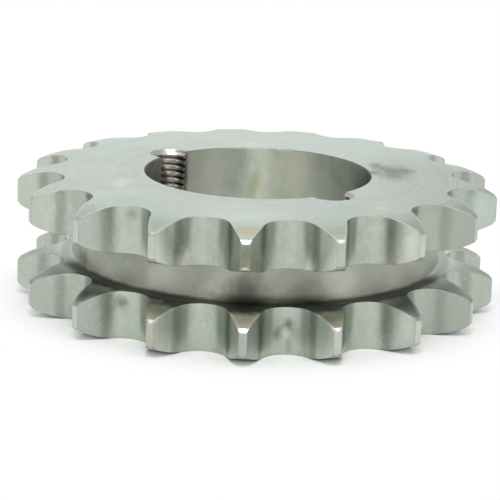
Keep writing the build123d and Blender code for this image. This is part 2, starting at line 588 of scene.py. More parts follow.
def closed_arc(bearing, height, wall_radius, columns):
    """The same columns above the plain hole's end, where they lie on the wall."""
    half = PLAIN_RADIUS / SCREW_CIRCLE * (height - closed_at) / (overall_width - closed_at)
    return [(bearing + side, wall_radius) for side in spread(-half, half, columns)]


def bore_section(height, widen=0.0):
    """One closed section of the bore as (angle, radius) points, RING + 1 of them."""
    wall = taper_radius(height) + widen
    right_arc = hole_arc(RIGHT_HOLE, tapped_radius, height, wall, TAPPED_COLUMNS)
    left_arc = hole_arc(LEFT_HOLE, tapped_radius, height, wall, TAPPED_COLUMNS)
    if height < closed_at:
        plain_arc = hole_arc(PLAIN_HOLE, plain_radius, height, wall, PLAIN_COLUMNS)
    else:
        plain_arc = closed_arc(PLAIN_HOLE, height, wall, PLAIN_COLUMNS)
    around = right_arc[0][0] + 2 * pi
    section = []
    for arc, columns, wall_end in (
        (right_arc, SHORT_WALL_COLUMNS, plain_arc[0][0]),
        (plain_arc, SHORT_WALL_COLUMNS, left_arc[0][0]),
        (left_arc, LONG_WALL_COLUMNS, around),
    ):
        section.extend(arc)
        section.extend((angle, wall) for angle in spread(arc[-1][0], wall_end, columns)[1:-1])
    section.append((around, section[0][1]))
    return section


# %% [markdown]
# ## The wall of the bore
#
# The sections are stacked twelve to a turn of the thread, which is enough for its flanks to
# read as straight. The first and the last section are a little wider, which breaks the
# bore's edges. The columns of faces in the tapped holes get the thread's finish.

# %% The wall of the bore
THREAD_ROWS = 12


def tapped_column(column):
    """Whether this column of faces lies in one of the two tapped half holes."""
    left_start = TAPPED_COLUMNS + 2 * SHORT_WALL_COLUMNS + PLAIN_COLUMNS
    return column < TAPPED_COLUMNS or left_start <= column < left_start + TAPPED_COLUMNS


def bore():
    """The whole wall of the bore. Returns its lowest and its highest section."""
    steps = round((overall_width - 2 * BORE_EDGE_BREAK) / THREAD_PITCH * THREAD_ROWS)
    heights = spread(BORE_EDGE_BREAK, overall_width - BORE_EDGE_BREAK, steps)
    sections = [(0.0, bore_section(0.0, BORE_EDGE_BREAK))]
    sections += [(height, bore_section(height)) for height in sorted(heights + [closed_at])]
    sections += [(overall_width, bore_section(overall_width, BORE_EDGE_BREAK))]
    rows = [[polar(*point, height) for point in section] for height, section in sections]
    start = len(face_finish)
    add_grid(rows, "bored taper")
    for face in range(start, len(face_finish)):
        if tapped_column((face - start) % RING):
            face_finish[face] = FINISHES.index("tapped thread")
        elif face < start + RING or face >= len(face_finish) - RING:
            face_finish[face] = FINISHES.index("broken edge")
    return sections[0][1], sections[-1][1]


bottom_rim, top_rim = bore()
print(len(faces), "faces with the groove and the bore")

# %% [markdown]
# ## The two flat faces
#
# Each face is a flat ring from the bore's rim to the ring where the teeth begin. Both edges
# have the same number of points, and the rings between them are blended from one to the
# other, so the face is clean all the way across.

# %% Faces
FACE_STEPS = 6


def outer_angle(column):
    """The angle of a point on the ring where the teeth begin, counted on past a full turn."""
    return ring_angles[0] + 2 * pi * column / RING


def flat_face(rim, height):
    """Rings of faces from the bore's rim out to the teeth, all at one height."""
    def mismatch(shift):
        """How badly the rim faces the outer ring when it is paired `shift` points on."""
        gaps = [rim[column][0] - outer_angle(column + shift) for column in range(RING)]
        return sum(gap**2 for gap in gaps)

    shift = min(range(RING), key=mismatch)
    rows = []
    for share in spread(0, 1, FACE_STEPS):
        row = []
        for column, (angle, radius) in enumerate(rim):
            turned = angle + (outer_angle(column + shift) - angle) * share
            out = radius + (ring_radius - radius) * share
            row.append(polar(turned, out, height))
        rows.append(row)
    add_grid(rows, "turned face")


flat_face(bottom_rim, 0)
flat_face(top_rim, overall_width)
print(len(faces), "faces in all")

# %% [markdown]
# ## Welding the skin
#
# Welding merges the points that lie on each other. After that the skin has to be closed,
# with no open edges. Its volume is a quick test of the whole mesh: it should be close to the
# solid's, and a little less, since the mesh has cut threads and broken edges besides.

# %% Weld
WELD = 0.0005 * MM
CREASE = radians(20)

mesh = bpy.data.meshes.new("sprocket_steel")
mesh.from_pydata(points, [], faces)
mesh.polygons.foreach_set("material_index", face_finish)
work = bmesh.new()
work.from_mesh(mesh)
bmesh.ops.remove_doubles(work, verts=work.verts, dist=WELD)
bmesh.ops.recalc_face_normals(work, faces=work.faces)
if work.calc_volume(signed=True) < 0:
    bmesh.ops.reverse_faces(work, faces=work.faces)
loose = [edge for edge in work.edges if len(edge.link_faces) != 2]
volume = work.calc_volume() / MM**3
print("open edges", len(loose), "faces", len(work.faces), "volume", round(volume, 1), "mm3")
work.to_mesh(mesh)
work.free()
mesh.shade_smooth()
mesh.set_sharp_from_angle(angle=CREASE)
sprocket = link("sprocket_steel", mesh)

# %% [markdown]
# ## Drawing on steel with nodes
#
# Each finish is a Principled shader, metal all through but for films of grime, oil and painted
# shade, and nodes vary its colour, gloss and relief. Everything is measured in millimetres on the
# part itself: a place, its distance from the bore's axis, its height and its bearing. A lathe's
# marks are noise stretched round the axis, a hob's marks are noise stretched along it, and a stain
# or a patch of painted light or shade is a soft blob with a ragged outline. Pictures wrapped round
# the part could do the same, but nodes stay sharp however near one goes. One small class keeps the
# calls short.

# %% A finish and its helpers
MARK_END = 1.1
MARK_GRAIN = 0.6
MARK_RAGGED = 0.8
QUARTER_TURN = 0.25
COLOUR_INPUTS = (6, 7)
COLOUR_OUTPUT = 2


class Finish:
    """A steel finish that is drawn with nodes, in millimetres on the part."""

    def __init__(self, name):
        self.material, self.tree, self.output = new_material(name)
        metres = self.node("TexCoord").outputs["Object"]
        self.place = self.vector("MULTIPLY", metres, (1 / MM,) * 3)
        self.x, self.y, self.height = self.node("SeparateXYZ", self.place).outputs
        flat = self.node("CombineXYZ", self.x, self.y).outputs[0]
        self.radius = self.node("VectorMath", flat, operation="LENGTH").outputs["Value"]
        self.bearing = self.math("ARCTAN2", self.y, self.x)

    def fill(self, socket, value):
        """Link a socket to another, or set its value."""
        if isinstance(value, bpy.types.NodeSocket):
            self.tree.links.new(value, socket)
        elif value is not None:
            socket.default_value = value

    def node(self, kind, *values, **settings):
        """Add a node, choose its settings, and fill its first sockets in order."""
        made = self.tree.nodes.new("ShaderNode" + kind)
        for name, setting in settings.items():
            setattr(made, name, setting)
        for socket, value in zip(made.inputs, values):
            self.fill(socket, value)
        return made

    def math(self, operation, first, second=None):
        """One number from one or two others."""
        return self.node("Math", first, second, operation=operation).outputs[0]

    def times(self, first, second):
        """One share times another, so that it holds only where both do."""
        return self.math("MULTIPLY", first, second)

    def vector(self, operation, first, second=None):
        """One vector from one or two others."""
        return self.node("VectorMath", first, second, operation=operation).outputs[0]

    def fade(self, value, zone, low, high):
        """`low` before the zone, `high` past it, and a smooth change between its ends."""
        span = (value, *zone, low, high)
        return self.node("MapRange", *span, interpolation_type="SMOOTHSTEP").outputs[0]

    def past(self, value, zone, share=1.0):
        """`share` where the value is past the zone, and 0 where it is short of it."""
        return self.fade(value, zone, 0, share)

    def short_of(self, value, zone, share=1.0):
        """`share` where the value is short of the zone, and 0 where it is past it."""
        return self.fade(value, zone, share, 0)

    def noise(self, vector, detail=2.0, roughness=0.5):
        """Clouds from 0 to 1, about one to each unit of the vector."""
        return self.node("TexNoise", vector, None, 1.0, detail, roughness).outputs[0]

    def clouds(self, size, detail=2.0, roughness=0.5):
        """Clouds of about this size in millimetres, the same in every direction."""
        scaled = self.vector("MULTIPLY", self.place, (1 / size,) * 3)
        return self.noise(scaled, detail, roughness)

    def turned(self, pitch):
        """Rings round the axis, about this far apart, as a lathe leaves them."""
        out = self.math("MULTIPLY", self.radius, 1 / pitch)
        along = self.math("MULTIPLY", self.height, 1 / pitch)
        return self.noise(self.node("CombineXYZ", out, along, self.bearing).outputs[0])

    def drawn(self, width, length, detail=2.0):
        """Streaks that run along the axis, this wide and this long."""
        scaled = self.vector("MULTIPLY", self.place, (1 / width, 1 / width, 1 / length))
        return self.noise(scaled, detail)

    def blend(self, share, first, second):
        """The first colour where the share is 0, and the second where it is 1."""
        made = self.node("Mix", share, data_type="RGBA")
        for number, colour in zip(COLOUR_INPUTS, (first, second)):
            linked = isinstance(colour, bpy.types.NodeSocket)
            self.fill(made.inputs[number], colour if linked else (*colour, 1))
        return made.outputs[COLOUR_OUTPUT]

    def mark(self, centre, reach, strength):
        """A blob that is `strength` at its centre and 0 past its reach, with a ragged rim."""
        offset = self.vector("SUBTRACT", self.place, centre)
        scaled = self.vector("DIVIDE", offset, reach)
        distance = self.node("VectorMath", scaled, operation="LENGTH").outputs["Value"]
        ragged = self.times(self.clouds(min(reach) * MARK_GRAIN, detail=3.0), MARK_RAGGED)
        zone = (MARK_RAGGED / 2, MARK_END + MARK_RAGGED / 2)
        return self.short_of(self.math("ADD", distance, ragged), zone, strength)

    def from_tooth_edge(self):
        """How far inside its tooth's outline a place on a row's side lies, in millimetres."""
        turn = self.math("SUBTRACT", self.bearing, front)
        from_middle = self.math("PINGPONG", turn, tooth_pitch / 2)
        arc = self.math("MULTIPLY", from_middle, self.radius)
        foot_angle, foot_radius = inner_line[SEAT_STEPS]
        tip_angle, tip_edge = inner_line[-1]
        foot = (tooth_pitch / 2 - foot_angle) * foot_radius / MM
        point = (tooth_pitch / 2 - tip_angle) * tip_edge / MM
        span = (self.radius, foot_radius / MM, tip_edge / MM, foot, point)
        half_width = self.node("MapRange", *span).outputs[0]
        return self.math("SUBTRACT", half_width, arc)

    def bump(self, height, depth):
        """The surface's direction after a relief this deep, in millimetres, is added."""
        made = self.tree.nodes.new("ShaderNodeBump")
        made.inputs["Distance"].default_value = depth * MM
        self.fill(made.inputs["Height"], height)
        return made.outputs[0]

    def steel(self, colour, gloss, normal=None, metal=1.0, stretch=0.0, film_shine=0.5):
        """Finish the material.

        `stretch` draws its highlights out across the turning marks, and `film_shine` is how
        much the film of grime shines where the surface is not bare metal.
        """
        shader = self.tree.nodes.new("ShaderNodeBsdfPrincipled")
        self.fill(shader.inputs["Base Color"], colour)
        self.fill(shader.inputs["Roughness"], gloss)
        self.fill(shader.inputs["Metallic"], metal)
        shader.inputs["Specular IOR Level"].default_value = film_shine
        if normal is not None:
            self.fill(shader.inputs["Normal"], normal)
        if stretch:
            shader.inputs["Anisotropic"].default_value = stretch
            axis = self.node("Tangent", direction_type="RADIAL", axis="Z")
            self.tree.links.new(axis.outputs[0], shader.inputs["Tangent"])
            shader.inputs["Anisotropic Rotation"].default_value = QUARTER_TURN
        self.tree.links.new(shader.outputs[0], self.output.inputs["Surface"])
        mesh.materials.append(self.material)
        print("finish:", self.material.name, len(self.tree.nodes), "nodes")


# %% [markdown]
# ## Tones of steel
#
# Machined steel is never one grey. It drifts between two tones as the light oil on it dries, it is
# rosier in patches where fingers have been, and fine scratches give it a grain. Stains come on
# top, and so do patches of painted light and shade, each a soft patch with its own place, reach,
# colour and strength. Every finish below is a chain of such blends, each laid over the last.

# %% Tones of steel
PALE_STEEL = (0.48, 0.565, 0.495)
DULL_STEEL = (0.445, 0.515, 0.455)
ROSY_STEEL = (0.50, 0.53, 0.49)
DARK_SPECK = (0.27, 0.28, 0.25)
BRIGHT_SPECK = (0.80, 0.84, 0.76)
TONE_CHANGE = (0.35, 0.65)
PATCH_SIZE = 0.6
PATCH_CHANGE = (0.52, 0.72)
PATCH_STRENGTH = 0.7
DARK_SPECKS = (0.5, 0.8)
BRIGHT_SPECKS = (0.2, 0.5)


def mottled(finish, first, second, rosy, size):
    """Steel that drifts between two tones, with patches of a rosier third."""
    tone = finish.past(finish.clouds(size, detail=4.0, roughness=0.6), TONE_CHANGE)
    patch = finish.past(finish.clouds(size * PATCH_SIZE), PATCH_CHANGE, PATCH_STRENGTH)
    return finish.blend(patch, finish.blend(tone, first, second), rosy)


def grained(finish, colour, size, share):
    """A fine uneven grain over a colour, from scratches too small to draw one by one."""
    specks = finish.clouds(size, detail=4.0, roughness=0.7)
    dark = finish.blend(finish.past(specks, DARK_SPECKS, share), colour, DARK_SPECK)
    return finish.blend(finish.short_of(specks, BRIGHT_SPECKS, share), dark, BRIGHT_SPECK)


def stains_and_painted_light(finish, colour, stains):
    """Lay stains and patches of painted light and shade over a colour. Each has a centre, a reach,
    its own colour and a strength.
    """
    for centre, reach, tint, strength in stains:
        colour = finish.blend(finish.mark(centre, reach, strength), colour, tint)
    return colour


print("every finish drifts between", DULL_STEEL, "and", PALE_STEEL, "or tones of its own")

# %% [markdown]
# ## Marks on the top face
#
# A used face is seldom even, and its marks are drawn here as patches, each at its own place. The
# front is painted a little darker at both sides and lighter in the middle, as painted shade and
# light. One oily smudge lies beside the bore, and a fleck of rust towards the right front. Two
# places are rubbed pale, and two of the front teeth have a straw or a brownish tint.

# %% Marks on the top face
TOP = overall_width / MM
STAIN_BROWN = (0.13, 0.13, 0.085)
RUST_YELLOW = (0.75, 0.55, 0.28)

# Painted shade at both sides of the front and painted light in its middle
PAINTED_FRONT_SHADE_AND_LIGHT = [
    ((20.0, -35.0, TOP), (15.0, 15.0, 2), (0.36, 0.44, 0.38), 0.55),
    ((-22.0, -38.0, TOP), (12.0, 11.0, 2), (0.38, 0.46, 0.40), 0.4),
    ((-1.0, -43.0, TOP), (12.0, 12.0, 2), (0.66, 0.73, 0.62), 0.35),
]
OILY_SMUDGE = [
    ((31.5, 7.0, TOP), (9.0, 22.0, 2), (0.36, 0.40, 0.36), 0.6),
    ((32.0, 5.0, TOP), (5.4, 10.5, 2), (0.17, 0.18, 0.125), 1.0),
    ((29.2, 9.0, TOP), (3.4, 4.0, 2), STAIN_BROWN, 0.75),
    ((32.3, 6.4, TOP), (3.8, 3.6, 2), STAIN_BROWN, 0.85),
    ((34.6, 7.5, TOP), (3.0, 3.4, 2), STAIN_BROWN, 0.75),
    ((31.8, 1.6, TOP), (2.6, 3.4, 2), STAIN_BROWN, 0.60),
    ((27.6, 12.0, TOP), (2.4, 4.0, 2), STAIN_BROWN, 0.85),
    ((27.2, 4.2, TOP), (2.2, 3.4, 2), STAIN_BROWN, 0.85),
]
RUST_FLECK = [((28.7, -30.5, TOP), (2.4, 2.6, 2), RUST_YELLOW, 0.85)]
RUBBED_PALE = [
    ((-30.6, -16.9, TOP), (2.8, 6.0, 2), (0.62, 0.66, 0.62), 0.8),
    ((-3.0, 30.5, TOP), (8.0, 5.0, 2), (0.64, 0.63, 0.58), 0.6),
]
TINTED_TEETH = [
    ((-0.4, -52.6, 29.2), (5.5, 3.5, 4), (0.62, 0.58, 0.40), 0.85),
    ((19.6, -48.6, 29.2), (4.5, 3.5, 4), (0.57, 0.50, 0.43), 0.7),
]
TOP_FACE_MARKS = PAINTED_FRONT_SHADE_AND_LIGHT + OILY_SMUDGE + RUST_FLECK + RUBBED_PALE + TINTED_TEETH
print(len(TOP_FACE_MARKS), "marks on the top face")

# %% [markdown]
# ## Turned faces
#
# The two flat faces were turned, so very fine rings run round them, both in the relief and in the
# gloss. The steel has a faint green cast. Painted shade makes it duller towards the right, and
# painted light makes it paler towards the back. The rims of the teeth get a painted highlight, and
# the chamfers of the front teeth get painted shade at their ends, so that their highlight is
# brightest in the middle.

# %% Turned faces
FRONT_TEETH = (-46, -42)
CHAMFERS = (55.1, 55.4)
CHAMFER_ENDS = (0.1, 0.9)
PAINTED_END_SHADE = (0.28, 0.28, 0.24)
GLOSS_CHANGE = (0.3, 0.7)
RIGHT_OF_FACE = (15, 48)
PAINTED_SHADE_STEEL = (0.345, 0.40, 0.355)
BACK_OF_FACE = (5, 40)
PAINTED_LIGHT_STEEL = (0.52, 0.62, 0.54)
FACE_RIM = (0.1, 0.7)
OUT_ON_THE_TEETH = (50, 51)
PAINTED_RIM_HIGHLIGHT = (0.66, 0.68, 0.60)


def front_chamfers(finish):
    """1 on the chamfers of the teeth in front."""
    outermost = finish.past(finish.radius, CHAMFERS)
    return finish.times(outermost, finish.short_of(finish.y, FRONT_TEETH))


def with_shaded_ends(finish, colour, chamfers):
    """The same colour, with painted shade at both ends of each chamfer."""
    ends = finish.fade(finish.from_tooth_edge(), CHAMFER_ENDS, 0.85, 0.15)
    return finish.blend(finish.times(chamfers, ends), colour, PAINTED_END_SHADE)


face = Finish("turned face")
rings = face.turned(pitch=0.4)
colour = mottled(face, DULL_STEEL, PALE_STEEL, ROSY_STEEL, size=8)
colour = grained(face, colour, size=1.6, share=0.22)
# Painted shade towards the right and painted light towards the back
colour = face.blend(face.past(face.x, RIGHT_OF_FACE, 0.95), colour, PAINTED_SHADE_STEEL)
colour = face.blend(face.past(face.y, BACK_OF_FACE, 0.6), colour, PAINTED_LIGHT_STEEL)
# A painted highlight along the rims of the teeth
rim = face.short_of(face.from_tooth_edge(), FACE_RIM)
rim = face.times(rim, face.past(face.radius, OUT_ON_THE_TEETH))
colour = face.blend(face.times(rim, 0.5), colour, PAINTED_RIM_HIGHLIGHT)
colour = stains_and_painted_light(face, colour, TOP_FACE_MARKS)
# Painted shade at the ends of the front chamfers, so their highlight rounds off
colour = with_shaded_ends(face, colour, front_chamfers(face))
gloss = face.fade(rings, GLOSS_CHANGE, 0.27, 0.34)
face.steel(colour, gloss, face.bump(rings, depth=0.003))

# %% [markdown]
# ## Where the grime and painted shade lie
#
# Between the rows no cloth reaches and little light gets in, so the corner of the groove gets a
# dark film that stands for oil and dust and for painted shade. The film is drawn at the front and
# gives out on the way round, so the back is bare. Its edge wanders, and it reaches further out on
# the front teeth and less far at the sides. It could be painted by hand, but a share worked out
# from place and noise can be tuned in one line.

# %% Where the grime and painted shade lie
GRIME_AND_SHADE = (0.035, 0.036, 0.026)
FILM_FRONT = (-20, -11)
# Dark patches of grime and painted shade by the groove's corner, and one pale spot
SIDE_GRIME_AND_SHADE = [
    ((-36.0, -38.0, 10.0), (3.5, 3.5, 3.0), (0.07, 0.075, 0.05), 0.6),
    ((33.5, -33.0, 10.8), (6.0, 6.0, 3.0), (0.08, 0.08, 0.06), 0.75),
    ((-36.6, -38.2, 9.8), (2.2, 2.2, 2.5), (0.15, 0.125, 0.10), 0.7),
    ((-33.8, -40.8, 9.2), (1.8, 1.8, 2.0), (0.60, 0.54, 0.48), 0.8),
    ((35.0, -38.0, 9.8), (4.5, 4.5, 3.0), (0.13, 0.12, 0.10), 0.5),
]
FILM_EDGE_WANDERS = 4
FILM_FURTHER_IN_FRONT = 2.6
BESIDE_THE_FRONT = (-30, -20)
FILM_OUT_TO = (48.0, 51.5)
BETWEEN_ROWS = (13, 17)


def grime_and_shade_front(finish):
    """1 at the front, where the grime and painted shade are, and 0 round the back."""
    return finish.short_of(finish.y, FILM_FRONT)


def grime_and_shade_on_sides(finish, in_front):
    """The share of grime and painted shade on the sides of the rows, half as much under the upper
    row.
    """
    further = finish.times(in_front, FILM_FURTHER_IN_FRONT)
    further = finish.math("SUBTRACT", further, finish.past(finish.y, BESIDE_THE_FRONT, 2))
    wander = finish.times(finish.clouds(3, detail=3.0), FILM_EDGE_WANDERS)
    edge = finish.math("SUBTRACT", finish.math("ADD", finish.radius, wander), further)
    share = finish.times(finish.short_of(edge, FILM_OUT_TO, 0.97), grime_and_shade_front(finish))
    return finish.times(share, finish.fade(finish.height, BETWEEN_ROWS, 1, 0.5))


print(len(SIDE_GRIME_AND_SHADE), "patches besides the film of grime")

# %% [markdown]
# ## The sides that face the groove
#
# These four sides are turned like the faces, but they are seldom wiped. Beyond the grime and
# painted shade the front teeth are warm steel, and straw-coloured towards the middle. Further
# round, painted shade darkens the outer half of each tooth, and from the sides to the back the
# roots get a painted sheen.

# %% Groove sides
WARM_STEEL = (0.36, 0.345, 0.25)
STRAW_STEEL = (0.66, 0.635, 0.50)
MIDDLE_TOOTH = (8, 12)
WORN_TEETH = (49.5, 52.0)
PAINTED_SIDE_SHADE = (0.19, 0.215, 0.20)
SHADE_ON_TEETH = (46.5, 51.0)
FURTHER_ROUND = (-44, -40)
PAINTED_ROOT_SHEEN = (0.61, 0.67, 0.63)
ROOTS = (46, 48)
BACK_ROOTS = (-19, -12)
PAINTED_SIDE_HIGHLIGHT = (0.78, 0.75, 0.65)
SIDE_RIM = (0.2, 0.8)
RIM_OUT_FROM = (49.5, 51)
RIM_NEAR_THE_MIDDLE = (19.4, 20.6)
RIM_FAR_OUT = (24, 28)
PAINTED_CHAMFER_HIGHLIGHT = (0.86, 0.87, 0.79)
LOWER_ROW = (12, 17)

side = Finish("groove side")
rings = side.turned(pitch=0.4)
colour = mottled(side, DULL_STEEL, PALE_STEEL, ROSY_STEEL, size=5)
aside = side.math("ABSOLUTE", side.x)
in_front = side.short_of(side.y, FRONT_TEETH)
worn = side.times(side.past(side.radius, WORN_TEETH), in_front)
warm = side.blend(side.short_of(aside, MIDDLE_TOOTH), WARM_STEEL, STRAW_STEEL)
colour = side.blend(worn, colour, warm)
# Painted shade on the outer half of each tooth further round
side_shade = side.times(side.past(side.radius, SHADE_ON_TEETH), side.past(side.y, FURTHER_ROUND))
colour = side.blend(side.times(side_shade, 0.7), colour, PAINTED_SIDE_SHADE)
# A painted sheen on the roots from the sides to the back
root_sheen = side.times(side.short_of(side.radius, ROOTS, 0.8), side.past(side.y, BACK_ROOTS))
colour = side.blend(root_sheen, colour, PAINTED_ROOT_SHEEN)
# The dark film is grime and painted shade between the rows
grime_and_shade = grime_and_shade_on_sides(side, in_front)
colour = side.blend(grime_and_shade, colour, GRIME_AND_SHADE)
colour = stains_and_painted_light(side, colour, SIDE_GRIME_AND_SHADE)
print("groove side, steel and grime:", len(side.tree.nodes), "nodes so far")

# %% [markdown]
# ## Rims and chamfers of the groove sides
#
# The rims of the teeth get a painted highlight, strongest near the middle, and the chamfers of the
# front teeth get a painted highlight too, more so in the lower row, with painted shade at their
# ends. Grime is not metal: the dark film of grime and painted shade is dull, so it lowers both the
# metallic share and the gloss of the steel under it.

# %% Rims, chamfers and gloss of the groove sides
# A painted highlight along the rims of the teeth, strongest near the middle
rim = side.short_of(side.from_tooth_edge(), SIDE_RIM)
rim = side.times(rim, side.past(side.radius, RIM_OUT_FROM))
near_the_middle = side.short_of(aside, RIM_NEAR_THE_MIDDLE, 0.75)
highlight_share = side.math("ADD", near_the_middle, side.past(aside, RIM_FAR_OUT, 0.3))
colour = side.blend(side.times(rim, highlight_share), colour, PAINTED_SIDE_HIGHLIGHT)
# A painted highlight on the front chamfers, stronger in the lower row
chamfers = front_chamfers(side)
painted_highlight = side.times(chamfers, side.fade(side.height, LOWER_ROW, 0.9, 0.2))
colour = side.blend(painted_highlight, colour, PAINTED_CHAMFER_HIGHLIGHT)
colour = with_shaded_ends(side, colour, chamfers)
metal = side.fade(worn, (0, 1), 1, 0.75)
metal = side.math("SUBTRACT", metal, side.times(grime_and_shade, 0.6))
gloss = side.fade(grime_and_shade, (0, 1), 0.34, 0.55)
side.steel(colour, gloss, side.bump(rings, depth=0.003), metal, film_shine=0.15)

# %% [markdown]
# ## Broken edges
#
# Every edge is broken with a file or a brush, which leaves a narrow dull strip. The bore's own
# rims are darkened with painted shade, but hardly at the very front and the very back.

# %% Broken edges
PAINTED_RIM_SHADE = (0.10, 0.11, 0.09)
BORE_RIMS = (34, 36)
LIGHTER_MIDDLE = (5, 9)

edge = Finish("broken edge")
colour = mottled(edge, (0.30, 0.325, 0.29), (0.42, 0.44, 0.39), (0.44, 0.40, 0.36), size=2)
# Painted shade on the bore's rims, lighter at the front and the back
shade_aside = edge.fade(edge.math("ABSOLUTE", edge.x), LIGHTER_MIDDLE, 0.2, 1)
painted_shade = edge.times(edge.short_of(edge.radius, BORE_RIMS, 0.5), shade_aside)
colour = edge.blend(painted_shade, colour, PAINTED_RIM_SHADE)
edge.steel(colour, edge.fade(edge.clouds(0.8), GLOSS_CHANGE, 0.5, 0.65))

# %% [markdown]
# ## Marks in the gaps
#
# The gaps have marks of their own, kept here in groups. Some flanks are painted lighter or darker
# than the rest, as painted light and shade, oil has dried on two seats, three flecks of rust sit
# near the lower edges, and one seat in the lower row has a dark mark with a pale spot in it.
# Painted glints sit by the groove, and painted shade lies just below the face at three roots.

# %% Marks in the gaps
# Painted light on flanks and seats at the front and the left
PAINTED_FLANK_LIGHT = [
    ((17.5, -50.5, 25.0), (3.5, 3.5, 9.0), (0.86, 0.96, 0.86), 0.65),
    ((-24.5, -40.0, 15.0), (6.0, 6.0, 40.0), (0.57, 0.64, 0.55), 0.55),
    ((-31.0, -39.3, 25.0), (2.4, 2.4, 9.0), (0.56, 0.60, 0.52), 0.42),
]
DRIED_OIL = [
    ((-25.8, -38.1, 28.5), (1.9, 2.5, 1.6), (0.26, 0.27, 0.18), 0.55),
    ((-27.8, -38.1, 8.2), (2.4, 2.5, 2.2), (0.14, 0.16, 0.13), 0.7),
]
DARK_SEAT_MARK = [
    ((7.2, -45.1, 6.0), (3.4, 3.0, 4.0), (0.30, 0.31, 0.285), 0.5),
    ((10.8, -44.9, 5.4), (3.2, 3.0, 3.8), (0.28, 0.31, 0.28), 0.6),
    ((6.9, -45.1, 5.0), (1.6, 2.0, 2.2), (0.16, 0.17, 0.155), 0.75),
    ((9.3, -44.9, 7.0), (1.7, 2.0, 2.0), (0.15, 0.15, 0.10), 0.8),
    ((9.4, -44.9, 2.2), (1.0, 2.0, 3.4), (0.30, 0.27, 0.26), 0.6),
    ((8.8, -45.0, 4.8), (1.3, 2.0, 1.6), (0.62, 0.63, 0.53), 0.6),
]
# Rust flecks, a dark streak and a straw mark, with two pale flanks of painted light at the right
# front
RUST_AND_PAINTED_FLANK_LIGHT = [
    ((31.9, -39.6, 21.3), (1.5, 1.5, 1.1), (0.55, 0.38, 0.24), 0.55),
    ((33.2, -40.3, 20.9), (1.6, 1.6, 1.1), (0.80, 0.64, 0.36), 0.75),
    ((35.0, -41.4, 25.5), (4.6, 4.0, 8.0), (0.78, 0.81, 0.72), 0.6),
    ((32.6, -39.8, 25.5), (1.6, 1.6, 8.0), (0.30, 0.31, 0.27), 0.4),
    ((34.5, -41.0, 6.0), (5.5, 4.0, 8.0), (0.72, 0.75, 0.66), 0.45),
    ((48.4, -25.7, 3.7), (1.3, 1.3, 1.0), (0.50, 0.38, 0.25), 0.5),
    ((-19.6, -52.3, 6.0), (3.6, 3.2, 9.0), (0.50, 0.48, 0.38), 0.8),
]
# Painted glints at the lower ends of two upper seats, by the groove
PAINTED_GLINTS_BY_THE_GROOVE = [
    ((14.0, -46.9, 20.5), (2.6, 3.2, 3.4), (0.92, 0.94, 0.82), 0.75),
    ((-14.2, -46.9, 20.5), (2.6, 3.2, 4.6), (0.92, 0.94, 0.82), 0.75),
]
# Painted shade on three flanks and painted light on one at the right
PAINTED_FLANK_SHADE_AND_LIGHT = [
    ((-0.1, -53.0, 24.0), (6.0, 4.5, 8.5), (0.30, 0.285, 0.23), 0.6),
    ((-44.0, -30.0, 6.0), (8.0, 8.0, 7.0), (0.33, 0.365, 0.28), 0.6),
    ((43.5, -31.0, 6.0), (8.0, 8.0, 7.0), (0.28, 0.38, 0.34), 0.5),
    ((52.0, -8.0, 25.0), (6.0, 7.0, 8.0), (0.60, 0.72, 0.68), 0.55),
]
# Painted shade at three roots, just below the top face
PAINTED_SHADE_BELOW_THE_FACE = [
    ((-36.7, -27.3, 29.4), (1.8, 1.8, 1.4), (0.10, 0.11, 0.09), 0.3),
    ((36.3, -27.8, 29.2), (1.8, 1.8, 1.4), (0.10, 0.11, 0.09), 0.3),
    ((44.7, -10.8, 29.4), (1.8, 1.8, 1.4), (0.10, 0.11, 0.09), 0.3),
]
GAP_MARKS = PAINTED_FLANK_LIGHT + DRIED_OIL + DARK_SEAT_MARK + RUST_AND_PAINTED_FLANK_LIGHT
GAP_MARKS += PAINTED_GLINTS_BY_THE_GROOVE + PAINTED_FLANK_SHADE_AND_LIGHT + PAINTED_SHADE_BELOW_THE_FACE
print(len(GAP_MARKS), "marks in the gaps")

# %% [markdown]
# ## Hobbed gaps
#
# The hob leaves fine lines that run across the tooth from tip to root. They spread every
# reflection up and down but not sideways, which the shader's anisotropy does, so the round seats
# show clean upright bands of light and dark. Seats and flanks have tones of their own. Painted
# light makes the flanks paler in the upper row and at the sides, and painted shade makes them
# darker at the far right.

# %% Seats and flanks of the gaps
FEED_LINES = (0.25, 0.25, 3.0)
SEAT_STEEL = (0.44, 0.50, 0.43)
PALE_SEAT = (0.485, 0.54, 0.465)
ROSY_SEAT = (0.49, 0.475, 0.44)
UPPER_ROW = (11, 19)
LOWER_FLANK_PAINTED_DARKER = (0.45, 0.485, 0.44)
UPPER_FLANK_PAINTED_LIGHTER = (0.50, 0.535, 0.48)
BESIDE = (-32, -18)
PAINTED_SIDE_FLANK_LIGHT = (0.57, 0.62, 0.52)
FAR_RIGHT = (38, 46)
RIGHT_FLANK_PAINTED_DARKER = (0.45, 0.50, 0.43)
SEAT_TO_FLANK = (50, 52.5)

gap = Finish("hobbed gap")
feed = gap.noise(gap.vector("MULTIPLY", gap.place, FEED_LINES), detail=3.0)
drag = gap.drawn(width=0.8, length=9)
seat = mottled(gap, SEAT_STEEL, PALE_SEAT, ROSY_SEAT, size=3)
upper = gap.past(gap.height, UPPER_ROW)
side_light = gap.times(gap.past(gap.y, BESIDE), gap.fade(upper, (0, 1), 0.5, 1))
# Painted light on the upper row's flanks and on those at the sides, painted shade at the far right
flank = gap.blend(upper, LOWER_FLANK_PAINTED_DARKER, UPPER_FLANK_PAINTED_LIGHTER)
flank = gap.blend(side_light, flank, PAINTED_SIDE_FLANK_LIGHT)
flank = gap.blend(gap.past(gap.x, FAR_RIGHT, 0.6), flank, RIGHT_FLANK_PAINTED_DARKER)
colour = gap.blend(gap.past(gap.radius, SEAT_TO_FLANK), seat, flank)
print("hobbed gap, seats and flanks:", len(gap.tree.nodes), "nodes so far")

